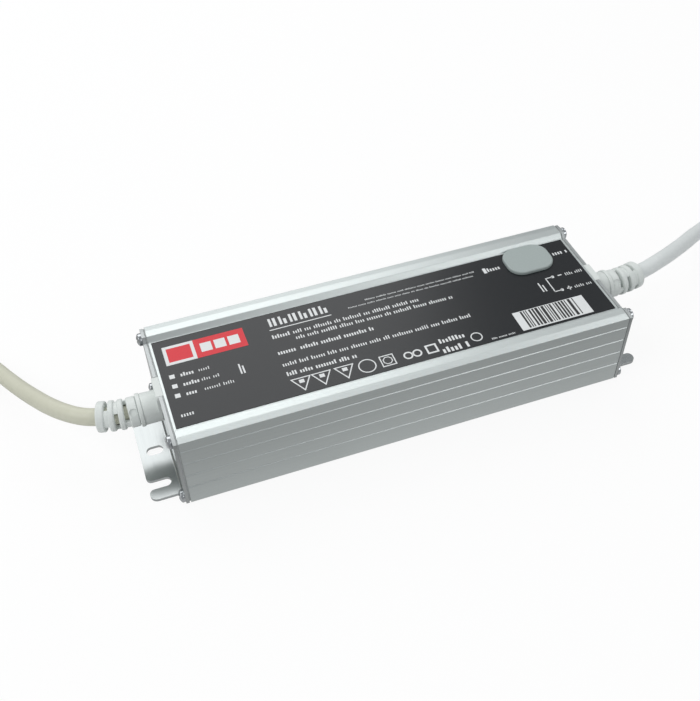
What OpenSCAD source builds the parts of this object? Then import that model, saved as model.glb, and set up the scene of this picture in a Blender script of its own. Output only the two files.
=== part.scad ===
// LED driver in a sealed case: an aluminium extrusion closed by two folded end plates,
// with a moulded strain relief and a cable at each end. Millimetres.
// X runs along the case with the output end at +X, Y runs across it, and the case
// stands on Z = 0 with its label face up. The origin is at the middle of the base.

/* [Case] */
// Length of the extrusion
case_l = 196; // [184:1:230]
// Width of the extrusion
case_w = 68; // [66:0.5:76]
// Height of the extrusion over its rails
case_h = 38.8; // [37.5:0.1:44]
// Wall of the extrusion
wall = 2; // [1.6:0.1:2.4]
// Radius of the bottom edges
case_edge_r = 1.2; // [0.5:0.1:1.6]

/* [Top rails] */
// Width of a rail at its foot
rail_w = 8.6; // [8.2:0.1:9.4]
// Height of a rail over the label face
rail_h = 2.1; // [1.7:0.1:2.5]
// Run of the slope on a rail's inner side
rail_slope = 1.8; // [0.8:0.1:2.2]
// Width of the bevel on a rail's outer edge
bevel_w = 3.2; // [1.2:0.1:3.6]
// Drop of that bevel
bevel_h = 0.5; // [0.2:0.1:1.6]

/* [Side grooves] */
// Grooves along each side
groove_n = 4; // [1:1:4]
// Height of the lowest groove
groove_first = 10.7; // [9.5:0.1:11.5]
// Distance from groove to groove
groove_pitch = 7.5; // [6.5:0.1:7.7]
// Width of a groove at the surface
groove_w = 0.9; // [0.8:0.1:1.6]
// Depth of a groove
groove_d = 0.4; // [0.3:0.05:0.7]

/* [End screws] */
// Outer diameter of the thread
screw_d = 3; // [2.6:0.1:3.2]
// Length of the screw under its head
screw_l = 12; // [8:0.5:16]
// Diameter of the head
head_d = 5.5; // [5:0.1:5.7]
// Height of the head
head_h = 2.4; // [1.9:0.1:2.5]
// Radius of the head's dome
head_dome_r = 4.2; // [3.6:0.1:6]
// Length of one bar of the cross recess
recess_l = 2.8; // [2.2:0.1:3.2]
// Width of that bar
recess_w = 0.8; // [0.6:0.05:1]
// Depth of the recess
recess_h = 1.2; // [0.8:0.1:1.4]
// Turn at which the screws came to rest
recess_turn = 45; // [0:5:90]
// From a side of the case to the upper screw axes
screw_in = 4.4; // [4.2:0.1:5]
// From the top of the rails down to the upper screw axes
screw_under = 2.9; // [2.8:0.1:3.2]
// From a side of the case to the lower screw axes
low_screw_in = 2.8; // [2.8:0.1:3.4]
// From the base up to the lower screw axes
screw_over = 2.9; // [2.9:0.1:3.4]
// Wall round a screw port
port_wall = 1.3; // [1:0.1:1.5]
// Radial play between a thread and its port
screw_play = 0.05; // [0.02:0.01:0.2]
// Radial play of a screw in plate and gasket
hole_play = 0.2; // [0.1:0.05:0.4]

/* [End plates] */
// Sheet thickness of plate and foot
plate_t = 1.4; // [1.2:0.1:1.8]
// Setback of the plate's edge from the case's outline
plate_inset = 0.3; // [0.1:0.1:0.6]
// Thickness of the pressed gasket
gasket_t = 0.6; // [0.4:0.1:1.2]
// Setback of the gasket's edge from the case's outline
gasket_inset = 0.5; // [0.2:0.1:0.8]

/* [Feet] */
// Reach of a foot from the plate's outer face
foot_reach = 13.2; // [12:0.1:16]
// Radius of a foot's outer corners
foot_r = 3; // [1:0.1:3]
// Inner radius of the fold
bend_r = 1; // [0.6:0.1:1.4]
// Gap between a foot's side and the lower screw head beside it
foot_gap = 0.1; // [0.1:0.1:0.8]
// Width of the open slots
u_slot_w = 4.5; // [4.2:0.1:5]
// Width of the finger between an open slot and the foot's side
finger_w = 5.5; // [5.3:0.1:7]
// Depth of an open slot from the foot's edge
u_slot_l = 9.8; // [8:0.1:10.6]
// Radius at the mouth of an open slot
mouth_r = 2.2; // [0.5:0.1:2.6]
// Width of the oval slot
oval_w = 4.5; // [4.2:0.1:5.2]
// Length of the oval slot
oval_l = 7.2; // [5.6:0.1:8]
// From the plate's outer face to the oval slot's middle
oval_out = 6.7; // [5.9:0.1:7.2]
// Place of the oval slot across the foot
oval_y = -2.8; // [-8:0.1:8]

/* [Strain reliefs] */
// From the label face down to the strain relief's axis
gland_drop = 11.1; // [10.4:0.1:12]
// Diameter of the barrel
barrel_d = 13.4; // [12.8:0.1:14.2]
// Length of the barrel
barrel_l = 7.3; // [5:0.1:9]
// Length of the ridge
ridge_l = 1.8; // [1:0.1:2.4]
// Height of the ridge over the barrel
ridge_h = 0.4; // [0.2:0.1:0.8]
// Diameter of the sleeve behind the ridge
sleeve_d = 12.8; // [12:0.1:13.2]
// Length of the sleeve
sleeve_l = 4; // [3.4:0.1:6]
// Width of the pocket moulded in the sleeve
pocket_w = 3; // [2:0.1:3.2]
// Depth of that pocket
pocket_h = 0.6; // [0.3:0.1:1]
// Place of that pocket round the sleeve, counted from straight down
pocket_a = 225; // [0:5:355]
// Ribs of the tail, with its end ring
rib_n = 3; // [2:1:4]
// Diameter of the ribs
rib_d = 12.9; // [12:0.1:13.4]
// Length of a rib
rib_l = 2.4; // [1.8:0.05:3]
// Length of the end ring
end_rib_l = 3.4; // [3:0.1:5]
// Gap between the ribs
rib_gap = 1.4; // [0.8:0.05:1.6]
// Radius on the edges of the ribs
rib_edge_r = 0.75; // [0.2:0.05:0.8]
// Angle taken up by each of the two links across a gap
link_a = 76; // [50:1:100]
// Place of the first gap's links round the tail, counted from straight down
link_start = 120; // [0:5:180]
// Turn of the links from gap to gap
link_turn = 58; // [-90:1:90]
// Setback of the links from the ribs' outside
link_inset = 0.7; // [0.6:0.1:1]
// Gap between the links and the cable
link_off = 0.4; // [0.2:0.1:0.6]
// Depth of the links' roots in the ribs
link_root = 1; // [0.8:0.1:1.2]
// Bend at each gap of the input tail
in_bend = 5; // [0:0.5:6]
// Bend at each gap of the output tail
out_bend = 4; // [0:0.5:6]
// Width of the tab over the plate's notch
tab_w = 12.8; // [12.6:0.1:15]
// Thickness of the tab
tab_t = 1; // [0.8:0.1:2.6]
// Radius of the tab's upper corners
tab_r = 2; // [1:0.1:3]
// Width of the neck in the plate's notch
neck_w = 11; // [10:0.1:11.6]
// Play on each side of the neck
neck_play = 0.1; // [0.05:0.05:0.2]
// Diameter of the collar inside the case
collar_d = 14.8; // [13:0.1:15.4]
// Thickness of that collar
collar_t = 1.5; // [1:0.1:2]

/* [Cables] */
// Diameter of the input cable
in_cable_d = 7.4; // [7:0.1:8.4]
// Diameter of the output cable
out_cable_d = 7.5; // [7:0.1:8.4]
// Diameter of an insulated core
core_d = 2.4; // [2:0.1:2.6]
// Diameter of a tinned tip
tip_d = 1.4; // [1:0.1:1.6]
// Length of jacket left inside the plates
jacket_in = 6.7; // [6:0.1:7]

/* [Label and plug] */
// Thickness of the label
label_t = 0.2; // [0.1:0.05:0.3]
// From the label's ends to the ends of the case
label_end_gap = 1.1; // [0.4:0.1:3]
// From the label's edges to the feet of the rails
label_side_gap = 0.6; // [0.1:0.1:1]
// Length of the plug's head
plug_l = 22; // [20:0.5:26]
// Width of the plug's head
plug_w = 17; // [14:0.5:18]
// Height of the plug's head
plug_t = 1.5; // [1:0.1:1.8]
// Corner radius of the plug's head
plug_r = 6.5; // [4:0.1:6.8]
// Radius on the plug's upper edge
plug_edge_r = 0.7; // [0.3:0.1:0.9]
// From the output end of the case to the plug's middle
plug_in = 22.3; // [20:0.1:28]
// Gap between the plug and the rail beside it
plug_rail_gap = 0.1; // [0.1:0.1:1]
// Length of the plug's stem
stem_l = 15; // [14:0.5:17]
// Width of the plug's stem
stem_w = 8; // [6:0.5:10]
// Play round the stem
stem_play = 0.1; // [0.05:0.05:0.3]
// Width of the lip that holds the plug under the roof
lip_w = 0.5; // [0.3:0.1:0.8]
// Height of that lip
lip_h = 1.2; // [0.8:0.1:2]

/* [Circuit board] */
// Thickness of the board
board_t = 1.6; // [1.2:0.1:2]
// Height of the board's underside over the base
board_z = 8.1; // [7.9:0.1:9]
// Gap from the board's ends to the ends of the case
board_end_gap = 3.5; // [3:0.1:5]
// Play of the board in its guides
board_play = 0.3; // [0.1:0.05:0.5]
// Reach of the board's guides from the wall
guide_w = 1.6; // [1.2:0.1:2]
// Thickness of a guide
guide_t = 1.1; // [0.9:0.1:1.3]
// From the board's ends to the wire pads
pad_in = 8.5; // [7.5:0.1:10]
// Distance from pad to pad
pad_pitch = 6; // [5:0.5:8]
// Thickness of the insulating sheet
sheet_t = 0.4; // [0.2:0.1:0.6]

/* [Input side parts] */
// From the board's input end to the fuse and the varistor
fuse_in = 17; // [16:0.5:18]
// From the board's middle line to the fuse's end
fuse_side = 2; // [1:0.5:4]
// From the board's middle line to the varistor's edge
varistor_side = 3; // [2:0.5:5]
// Diameter of the fuse's glass
fuse_d = 5; // [4.6:0.1:5]
// Diameter of the fuse's caps
fuse_cap_d = 5.4; // [5.2:0.1:6]
// Length of a fuse cap
fuse_cap_l = 5; // [4:0.5:6]
// Length of the fuse
fuse_l = 20; // [18:0.5:22]
// Diameter of the varistor
varistor_d = 13; // [10:0.5:15]
// Thickness of the varistor
varistor_t = 4.5; // [4:0.1:5]
// Diameter of component legs
leg_d = 0.8; // [0.6:0.1:1]
// Length of component legs under a body
leg_l = 3; // [2:0.5:4]
// From the board's input end to the line filter capacitor
film_in = 29; // [28:0.5:30]
// Length of the line filter capacitor across the case
film_l = 26; // [22:0.5:30]
// Thickness of the line filter capacitor
film_t = 10; // [8:0.5:11]
// Height of the line filter capacitor
film_h = 18; // [14:0.5:19]
// Radius of the line filter capacitor's edges
film_r = 1.2; // [0.8:0.1:2]
// From the board's input end to the line choke
line_choke_in = 48; // [47.5:0.5:49]
// Place of the line choke across the board
line_choke_y = -5; // [-6:0.5:-4]
// Outer diameter of the line choke's core
line_core_d = 20; // [16:0.5:21]
// Inner diameter of the line choke's core
line_core_bore = 11; // [9:0.5:12]
// Height of the line choke's core
line_core_h = 9; // [7:0.5:12]
// From the board's input end to the power factor choke
pfc_in = 75; // [74.5:0.5:76]
// Place of the power factor choke across the board
pfc_y = -12; // [-13:0.5:-12]
// Length and width of the power factor choke
pfc_l = 26; // [22:0.5:27]
// Height of the power factor choke
pfc_h = 20; // [16:0.5:21]
// From the board's input end to the bulk capacitor
bulk_in = 75; // [74.5:0.5:76]
// Place of the bulk capacitor across the board
bulk_y = 11; // [11:0.5:13]
// Diameter of the bulk capacitor
bulk_d = 18; // [16:0.5:18.5]
// Length of the bulk capacitor
bulk_l = 28; // [24:0.5:29]

/* [Output side parts] */
// From the board's output end to the main transformer
transformer_in = 60; // [59:0.5:61]
// Place of the main transformer across the board
transformer_y = 4; // [2:0.5:6]
// Length and width of the main transformer
transformer_l = 30; // [26:0.5:31]
// Height of the main transformer
transformer_h = 21; // [18:0.5:21.5]
// From the board's output end to the output choke
out_choke_in = 33; // [32:0.5:34]
// Place of the output choke across the board
out_choke_y = -8; // [-10:0.5:-6]
// Outer diameter of the output choke's core
out_core_d = 13; // [11:0.5:14]
// Inner diameter of the output choke's core
out_core_bore = 7; // [6:0.5:8]
// Height of the output choke's core
out_core_h = 7; // [5:0.5:9]
// From the board's output end to the output capacitors
out_cap_in = 18; // [17:0.5:19]
// Place of the first output capacitor across the board
out_cap_y = 1; // [0:0.5:2]
// Output capacitors
out_cap_n = 3; // [1:1:3]
// Diameter of an output capacitor
out_cap_d = 10; // [8:0.5:10.5]
// Height of an output capacitor
out_cap_h = 18; // [12:0.5:20]
// Distance from output capacitor to output capacitor
out_cap_pitch = 11; // [10.6:0.1:11.5]
// Distance between the two trimmers
trimmer_pitch = 8; // [7.2:0.1:9]
// Side of a trimmer's body
trimmer_l = 6.8; // [6:0.1:7]
// Height of a trimmer's body
trimmer_h = 5; // [4:0.1:6]
// Diameter of a trimmer's rotor
rotor_d = 4; // [3:0.1:4.6]
// Depth of the rotor's seat in the body
rotor_seat = 2.4; // [1.6:0.1:3]
// Height of the rotor over the body
rotor_proud = 0.8; // [0.4:0.1:1.5]
// Radial play of the rotor
rotor_play = 0.05; // [0.02:0.01:0.08]
// Width of the rotor's screwdriver slot
rotor_slot = 0.7; // [0.5:0.1:1]

/* [Heat path] */
// Length of a heat spreader
spreader_l = 48; // [44:0.5:50]
// Thickness of a heat spreader
spreader_t = 3; // [2:0.1:3.2]
// Height of a heat spreader
spreader_h = 17; // [14:0.5:18]
// From the board's input end to the input spreader's middle
in_spreader_in = 66; // [64:0.5:68]
// From the board's output end to the output spreader's middle
out_spreader_in = 58; // [56:0.5:60]
// Transistors on each spreader
transistor_n = 2; // [1:1:2]
// Distance from transistor to transistor
transistor_pitch = 14; // [12:0.5:16]
// Width of a transistor
transistor_w = 10; // [9:0.1:10.6]
// Thickness of a transistor
transistor_t = 4.4; // [4:0.1:4.6]
// Height of a transistor
transistor_h = 14; // [12:0.5:15]
// Height of a transistor's moulded body
transistor_body_h = 8.4; // [8:0.1:9]
// Thickness of a transistor's metal tab
transistor_tab_t = 1.3; // [1:0.1:1.4]
// Gap between the upper guides and the bodies clamped to the spreaders
chip_gap = 1; // [0.5:0.1:2]
// Length of the bridge rectifier
bridge_l = 15; // [12:0.5:16]
// Height of the bridge rectifier
bridge_h = 13; // [10:0.5:14]
// Thickness of the bridge rectifier
bridge_t = 3.6; // [3:0.1:4]

/* [Hidden] */
$fn = 48;
cut = 1;
cable_sides = 12;
core_sides = 8;
rail_in = case_w / 2 - rail_w;
face_z = case_h - rail_h;
cavity_w = case_w - 2 * wall;
cavity_top = face_z - wall;
low_screw_y = case_w / 2 - low_screw_in;
screws = [[low_screw_y, screw_over], [case_w / 2 - screw_in, case_h - screw_under]];
port_bore_r = screw_d / 2 + screw_play;
port_r = port_bore_r + port_wall;
plate_x = case_l / 2 + gasket_t;
plate_out = plate_x + plate_t;
foot_w = 2 * (low_screw_y - head_d / 2 - foot_gap);
u_slot_y = (foot_w - u_slot_w) / 2 - finger_w;
gland_z = face_z - gland_drop;
plate_top = face_z - plate_inset;
board_top = board_z + board_t;
board_l = case_l - 2 * board_end_gap;
board_w = cavity_w - 2 * board_play;
guide_top = board_top + board_play + guide_t;
bed_w = 2 * (low_screw_y - port_r - board_play);
label_l = case_l - 2 * label_end_gap;
label_w = 2 * (rail_in - label_side_gap);
label_top = face_z + label_t;
plug_x = case_l / 2 - plug_in;
plug_y = rail_in - plug_rail_gap - plug_w / 2;
pad_x = board_l / 2 - pad_in;
spreader_y = cavity_w / 2 - spreader_t;
chip_z = guide_top - board_top + chip_gap;
rest_gap = 0.05;
edge_r = 0.25;
coil_wall = 2;
coil_play = 0.3;
coil_a = 140;
pot_bore = 0.84;
pot_gate = 0.6;
pot_post = 0.4;
pot_plate = 0.2;
trimmer_floor = 0.05;
sleeve_end = barrel_l + ridge_l + sleeve_l;
pair_y = core_d / 1.5;

// Middle of a strain relief's tail after i of its bends: distance out of the plate, then Y
function tail_point(i, bend) = i == 0 ? [sleeve_end, 0] : tail_point(i - 1, bend)
    + (rib_gap + (i == rib_n ? end_rib_l : rib_l)) * [cos(i * bend), sin(i * bend)];

// Middle of a cable: straight through its strain relief, round the tail's bends, then as it
// lies; a lay's points are counted from the tail's end, their height as a share of the drop
function cable_route(d, bend, lay) = let (end = tail_point(rib_n, bend)) concat(
    [[plate_out - jacket_in, 0, gland_z], [plate_out, 0, gland_z]],
    [for (i = [0:rib_n]) let (p = tail_point(i, bend)) [plate_out + p[0], p[1], gland_z]],
    [for (q = lay) [plate_out + end[0] + q[0], end[1] + q[1], d / 2 + q[2] * (gland_z - d / 2)]]
);

in_lay = [
    [6, 2.8, 0.99], [12, 8, 0.95], [18, 16.2, 0.83], [23, 25, 0.69], [29, 37, 0.49], [35, 50, 0.29],
    [41, 63, 0.13], [49, 76, 0.03], [61, 85, 0], [76, 88, 0], [92, 85, 0], [106, 75, 0],
    [115, 60, 0], [118, 43, 0], [118, 23, 0], [118, 2, 0]
];
out_lay = [
    [7, 1.7, 0.99], [14, 4.2, 0.97], [22, 8, 0.89], [31, 13, 0.77], [41, 19, 0.62], [52, 26, 0.45],
    [63, 32.4, 0.29], [75, 39.4, 0.13], [88, 44.4, 0.03], [103, 44.4, 0], [117, 39, 0],
    [128, 28.4, 0], [134, 14.4, 0], [134.6, -0.6, 0], [129, -15, 0], [119.6, -27.6, 0],
    [110, -39.6, 0], [101.6, -49.6, 0]
];
in_route = [for (p = cable_route(in_cable_d, in_bend, in_lay)) [-p[0], p[1], p[2]]];
out_route = cable_route(out_cable_d, out_bend, out_lay);

// Bared cores, counted from the end of their jacket; the last point is the tip's end
brown_lay = [
    [-1.6, 0, 3.2], [-1.6, -3, 3.2], [-3, -13, 2.2], [-7, -24, 1.4], [-12, -32, 1.4], [-16.2, -38.8, 1.4]
];
blue_lay = [
    [0, 0, 5.6], [0, -3, 5.6], [0, -13, 3.8], [0, -24, 1.7], [0, -34, 1.4], [0, -42, 1.4]
];
earth_lay = [for (p = brown_lay) [-p[0], p[1], p[2]]];
black_lay = [
    [-1.3, 1, 3.8], [-3.3, -1.3, 3.8], [-10.5, -8, 2.8], [-19, -13.5, 1.4], [-28, -17, 1.4],
    [-35.5, -19.9, 1.4]
];
white_lay = [
    [1.1, -1, 3.8], [-0.8, -3.3, 3.8], [-5.5, -13, 2.8], [-8.5, -24, 1.4], [-10, -35, 1.4],
    [-11.1, -43, 1.4]
];

// Shared shapes

// Places a section drawn across the case, its X as Y and its Y as Z, and extrudes it along X
module along_x(length) {
    rotate([90, 0, 90]) linear_extrude(length) children();
}

// Copies what belongs to the output end to the input end
module at_input() {
    mirror([1, 0, 0]) children();
}

module rounded(length, width, r) {
    square([length - 2 * r, width], center = true);
    square([length, width - 2 * r], center = true);
    for (x = [-1, 1], y = [-1, 1])
        translate([x * (length / 2 - r), y * (width / 2 - r)]) circle(r);
}

module obround(length, width) {
    square([length - width, width], center = true);
    for (x = [-1, 1]) translate([x * (length - width) / 2, 0]) circle(d = width);
}

// What a fillet of radius r takes off a square corner that points to -X and -Y
module corner_waste(r) {
    difference() {
        translate([-cut, -cut]) square(r + cut);
        translate([r, r]) circle(r);
    }
}

// Outline of the extrusion across the case, set back by inset on every side
function half_outline(inset) = [
    [case_w / 2 - inset, inset],
    [case_w / 2 - inset, case_h - bevel_h - inset],
    [case_w / 2 - bevel_w - inset, case_h - inset],
    [rail_in + rail_slope + inset, case_h - inset],
    [rail_in + inset, face_z - inset]
];
function case_outline(inset) = let (half = half_outline(inset), last = len(half) - 1)
    concat(half, [for (i = [last:-1:0]) [-half[i][0], half[i][1]]]);

module at_screws() {
    for (y = [-1, 1], at = screws) translate([y * at[0], at[1]]) children();
}

// Wall of the case in section, with its screw ports
module walls(inset, bore_r) {
    difference() {
        union() {
            difference() {
                polygon(case_outline(inset));
                translate([-cavity_w / 2, wall]) square([cavity_w, cavity_top - wall]);
            }
            intersection() {
                at_screws() circle(port_r);
                polygon(case_outline(inset));
            }
        }
        at_screws() circle(bore_r);
        for (y = [0, 1]) mirror([y, 0])
            translate([-case_w / 2 + inset, inset]) corner_waste(case_edge_r);
    }
}

// Notch for a strain relief's neck, open at the top
module neck_shape(width, top) {
    circle(d = width);
    translate([-width / 2, 0]) square([width, top]);
}

// Tubes swept along a list of points
function unit(v) = v / norm(v);
function heading(p, i) = unit(p[min(i + 1, len(p) - 1)] - p[max(i - 1, 0)]);
function ring(p, i, r, n, side) = let (t = heading(p, i), a = unit(cross(side, t)), b = cross(t, a))
    [for (k = [0:n - 1]) p[i] + r * (cos(360 * k / n) * a + sin(360 * k / n) * b)];

module tube(p, d, n, side = [0, 0, 1]) {
    last = len(p) - 1;
    walls = [for (i = [0:last - 1], k = [0:n - 1]) let (a = i * n + k, b = i * n + (k + 1) % n)
        each [[a, a + n, b], [b, a + n, b + n]]];
    ends = [[for (k = [0:n - 1]) k], [for (k = [n - 1:-1:0]) last * n + k]];
    polyhedron([for (i = [0:last]) each ring(p, i, d / 2, n, side)], concat(walls, ends));
}

// Outer parts

module case_extrusion() {
    color("#c9cfce") difference() {
        translate([-case_l / 2, 0, 0]) along_x(case_l) {
            difference() {
                walls(0, port_bore_r);
                for (i = [0:groove_n - 1], y = [0, 1]) mirror([y, 0])
                    translate([case_w / 2, groove_first + i * groove_pitch])
                        polygon([[-groove_d, 0], [0, -groove_w / 2], [cut, -groove_w / 2],
                                 [cut, groove_w / 2], [0, groove_w / 2]]);
            }
            for (y = [0, 1]) mirror([y, 0]) board_guides();
        }
        translate([plug_x, plug_y, cavity_top - cut])
            linear_extrude(wall + 2 * cut)
                obround(stem_l + 2 * stem_play, stem_w + 2 * stem_play);
    }
}

// The two ribs on a side wall that hold an edge of the circuit board
module board_guides() {
    for (z = [board_z - guide_t, guide_top - guide_t])
        translate([cavity_w / 2 - guide_w, z]) square([guide_w + wall / 2, guide_t]);
}

// A plate of the output end, with its foot folded outwards
module end_plate() {
    fold = bend_r + plate_t;
    difference() {
        union() {
            translate([plate_x, 0, 0]) along_x(plate_t) difference() {
                polygon(case_outline(plate_inset));
                translate([-foot_w / 2, 0]) square([foot_w, fold]);
            }
            translate([plate_x, foot_w / 2, 0])
                rotate([90, 0, 0]) linear_extrude(foot_w) intersection() {
                    square(fold);
                    translate([fold, fold]) difference() {
                        circle(fold);
                        circle(bend_r);
                    }
                }
            linear_extrude(plate_t) foot_outline();
        }
        translate([plate_x - cut, 0, 0]) along_x(plate_t + 2 * cut) {
            translate([0, gland_z]) neck_shape(neck_w + 2 * neck_play, gland_drop + cut);
            at_screws() circle(screw_d / 2 + hole_play);
        }
    }
}

// The foot seen from above, with its slots
module foot_outline() {
    fold_end = plate_out + bend_r;
    foot_end = plate_out + foot_reach;
    difference() {
        translate([fold_end, -foot_w / 2]) square([foot_end - fold_end, foot_w]);
        translate([plate_out + oval_out, oval_y]) obround(oval_l, oval_w);
        for (y = [0, 1]) mirror([0, y]) {
            translate([foot_end, -foot_w / 2]) mirror([1, 0]) corner_waste(foot_r);
            translate([foot_end - u_slot_l + u_slot_w / 2, u_slot_y]) {
                circle(d = u_slot_w);
                translate([0, -u_slot_w / 2]) square([u_slot_l, u_slot_w]);
            }
            translate([foot_end, u_slot_y + u_slot_w / 2]) mirror([1, 0]) corner_waste(mouth_r);
            translate([foot_end, u_slot_y - u_slot_w / 2]) mirror([1, 0]) mirror([0, 1])
                corner_waste(mouth_r);
        }
    }
}

module input_end_plate() {
    color("#d4d8d8") at_input() end_plate();
}

module output_end_plate() {
    color("#d4d8d8") end_plate();
}

module gasket() {
    translate([case_l / 2, 0, 0]) along_x(gasket_t) difference() {
        walls(gasket_inset, screw_d / 2 + hole_play);
        translate([0, gland_z]) neck_shape(neck_w + 2 * neck_play, gland_drop + cut);
    }
}

module input_gasket() {
    color("#b9bdbc") at_input() gasket();
}

module output_gasket() {
    color("#b9bdbc") gasket();
}

// A pan-head screw that points to -Z, its head standing on Z = 0
module pan_screw() {
    difference() {
        intersection() {
            cylinder(d = head_d, h = head_h);
            translate([0, 0, head_h - head_dome_r]) sphere(head_dome_r);
        }
        for (a = [0, 90]) rotate([0, 0, a])
            translate([-recess_l / 2, -recess_w / 2, head_h - recess_h])
                cube([recess_l, recess_w, recess_h + cut]);
    }
    translate([0, 0, -screw_l]) cylinder(d = screw_d, h = screw_l);
}

module end_screws() {
    color("#b9bdbe") for (end = [0, 1]) mirror([end, 0, 0])
        for (y = [-1, 1], at = screws)
            translate([plate_out, y * at[0], at[1]]) rotate([recess_turn, 0, 0]) rotate([0, 90, 0])
                pan_screw();
}

// Half section of a round step of a strain relief, standing on Z = 0, with rounded edges
module step_profile(d, length, edge_r) {
    square([d / 2 - edge_r, length]);
    translate([0, edge_r]) square([d / 2, length - 2 * edge_r]);
    for (z = [edge_r, length - edge_r]) translate([d / 2 - edge_r, z]) circle(edge_r);
}

// The slotted tail: each gap is bridged by two links that stand off the cable, and bends a little
module relief_tail(i, cable_d, bend) {
    link_r = rib_d / 2 - link_inset;
    link_in = cable_d / 2 + link_off;
    length = i == rib_n - 1 ? end_rib_l : rib_l;
    rotate([-bend, 0, 0]) {
        for (half = [0, 180]) rotate([0, 0, link_start + i * link_turn + half - link_a / 2])
            rotate_extrude(angle = link_a) translate([link_in, -link_root])
                square([link_r - link_in, rib_gap + 2 * link_root]);
        translate([0, 0, rib_gap]) {
            difference() {
                rotate_extrude() step_profile(rib_d, length, rib_edge_r);
                translate([0, 0, -cut]) cylinder(d = cable_d, h = length + 2 * cut);
            }
            if (i < rib_n - 1) translate([0, 0, length]) relief_tail(i + 1, cable_d, bend);
        }
    }
}

// Neck or tab in the plane of the plate: round below, square up to the plate's top
module relief_upright(width, r) {
    height = plate_top - gland_z;
    circle(d = width);
    translate([-height / 2, 0]) rounded(height, width, r);
    translate([-height / 2, -width / 2]) square([height / 2, width]);
}

// A strain relief of the output end; its local Z leads out of the case
module strain_relief(cable_d, bend) {
    neck_t = plate_t + gasket_t;
    sleeve_z = barrel_l + ridge_l;
    inner_z = -neck_t - collar_t;
    translate([plate_out, 0, gland_z]) rotate([0, 90, 0]) {
        difference() {
            union() {
                translate([0, 0, inner_z]) rotate_extrude() step_profile(collar_d, collar_t, edge_r);
                translate([0, 0, -neck_t]) linear_extrude(neck_t) relief_upright(neck_w, edge_r);
                linear_extrude(tab_t) relief_upright(tab_w, tab_r);
                rotate_extrude() {
                    step_profile(barrel_d, barrel_l, edge_r);
                    translate([0, barrel_l]) step_profile(barrel_d + 2 * ridge_h, ridge_l, ridge_h);
                    translate([0, sleeve_z]) step_profile(sleeve_d, sleeve_l, rib_edge_r);
                }
            }
            translate([0, 0, inner_z - cut]) cylinder(d = cable_d, h = sleeve_end - inner_z + 2 * cut);
            translate([0, 0, sleeve_z + sleeve_l / 2]) rotate([0, 0, pocket_a]) rotate([0, 90, 0])
                translate([0, 0, sleeve_d / 2 - pocket_h])
                    linear_extrude(pocket_h + cut) obround(sleeve_l - rib_edge_r, pocket_w);
        }
        translate([0, 0, sleeve_end]) relief_tail(0, cable_d, bend);
    }
}

module input_strain_relief() {
    color("#c6cac6") at_input() strain_relief(in_cable_d, in_bend);
}

module output_strain_relief() {
    color("#c8d0ce") strain_relief(out_cable_d, out_bend);
}

module rating_label() {
    color("#3c3d40") translate([0, 0, face_z]) linear_extrude(label_t) difference() {
        square([label_l, label_w], center = true);
        translate([plug_x, plug_y]) obround(stem_l + 2 * stem_play, stem_w + 2 * stem_play);
    }
}

// Rubber plug: a soft-edged head on the label, a stem through the roof and a lip under it
module adjuster_plug() {
    color("#a3aaa8") translate([plug_x, plug_y, 0]) {
        translate([0, 0, label_top]) hull() {
            linear_extrude(plug_t - plug_edge_r) rounded(plug_l, plug_w, plug_r, $fn = 32);
            for (x = [-1, 1], y = [-1, 1])
                translate([x * (plug_l / 2 - plug_r), y * (plug_w / 2 - plug_r), plug_t - plug_edge_r])
                    rotate_extrude($fn = 32) translate([plug_r - plug_edge_r, 0]) intersection() {
                        circle(plug_edge_r);
                        square(plug_edge_r);
                    }
        }
        translate([0, 0, cavity_top - lip_h])
            linear_extrude(label_top - cavity_top + lip_h) obround(stem_l, stem_w);
        translate([0, 0, cavity_top - lip_h])
            linear_extrude(lip_h) obround(stem_l + 2 * lip_w, stem_w + 2 * lip_w);
    }
}

// Cables and their bared cores

module input_cable() {
    color("#d5d3c0") tube(in_route, in_cable_d, cable_sides);
}

module output_cable() {
    color("#c9d0cf") tube(out_route, out_cable_d, cable_sides);
}

// The stretch of a core inside the case, from the jacket's end down to its pad
function inner_core(jacket_end, y, pad_y) = let (x = jacket_end[0], z = jacket_end[2], out = sign(x)) [
    [x, y, z],
    [x - out * core_d, y, z],
    [out * (pad_x + core_d / 2), (2 * y + pad_y) / 3, z - 2 * core_d],
    [out * pad_x, (y + 2 * pad_y) / 3, z - 4 * core_d],
    [out * pad_x, pad_y, board_top + core_d],
    [out * pad_x, pad_y, board_top]
];

// The stretch beyond the jacket, with the tip's end as its last point
function bared(route, lay) = let (end = route[len(route) - 1])
    [for (q = lay) [end[0] + q[0], end[1] + q[1], q[2]]];

module core(route, lay, y, pad_y) {
    points = bared(route, lay);
    tube([for (i = [0:len(points) - 2]) points[i]], core_d, core_sides);
    tube(inner_core(route[0], y, pad_y), core_d, core_sides, [0, 1, 0]);
}

module brown_core() {
    color("#6b4226") core(in_route, brown_lay, -core_d, -pad_pitch);
}

module blue_core() {
    color("#2f63b0") core(in_route, blue_lay, 0, 0);
}

module earth_core() {
    color("#8fb53a") core(in_route, earth_lay, core_d, pad_pitch);
}

module black_core() {
    color("#242424") core(out_route, black_lay, -pair_y, -pad_pitch / 2);
}

module white_core() {
    color("#ecece8") core(out_route, white_lay, pair_y, pad_pitch / 2);
}

// Tinned ends, each in line with the last stretch of its core
module core_tip(route, lay) {
    points = bared(route, lay);
    last = len(points) - 1;
    tube([points[last - 1], points[last]], tip_d, core_sides);
}

module core_tips() {
    color("#c7c9c6") {
        for (lay = [brown_lay, blue_lay, earth_lay]) core_tip(in_route, lay);
        for (lay = [black_lay, white_lay]) core_tip(out_route, lay);
    }
}

// Parts inside the case

function from_input(distance) = distance - board_l / 2;
function from_output(distance) = board_l / 2 - distance;

module on_board(x, y) {
    translate([x, y, board_top]) children();
}

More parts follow.
